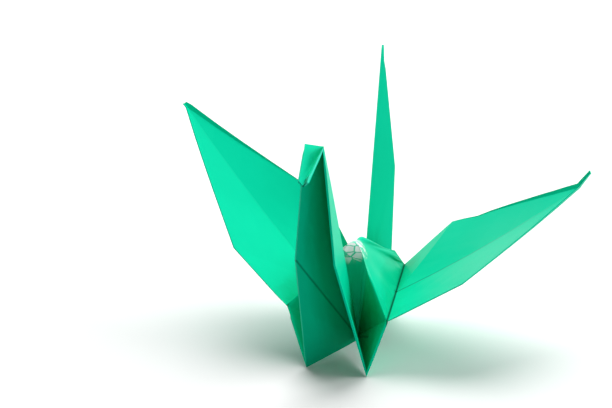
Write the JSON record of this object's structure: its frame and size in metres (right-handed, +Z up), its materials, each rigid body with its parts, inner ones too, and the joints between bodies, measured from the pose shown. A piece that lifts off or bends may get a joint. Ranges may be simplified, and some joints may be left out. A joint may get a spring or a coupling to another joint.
{
  "type": "origami crane",
  "caption": "Paper crane folded from one square sheet, standing on four folded corners, with raised wings, an upright neck and tail, and a puffed hump.",
  "frame": {"origin": "on the table, under the centre of the crane's bounding box", "axes": "+Z up, the neck towards -Y, the tail towards +Y, the wings along X"},
  "size_m": [0.1032, 0.068, 0.065],
  "materials": {
    "green_paper": "satin"
  },
  "bodies": {
    "root": {"folded_sheet": "green_paper"}
  },
  "joints": []
}
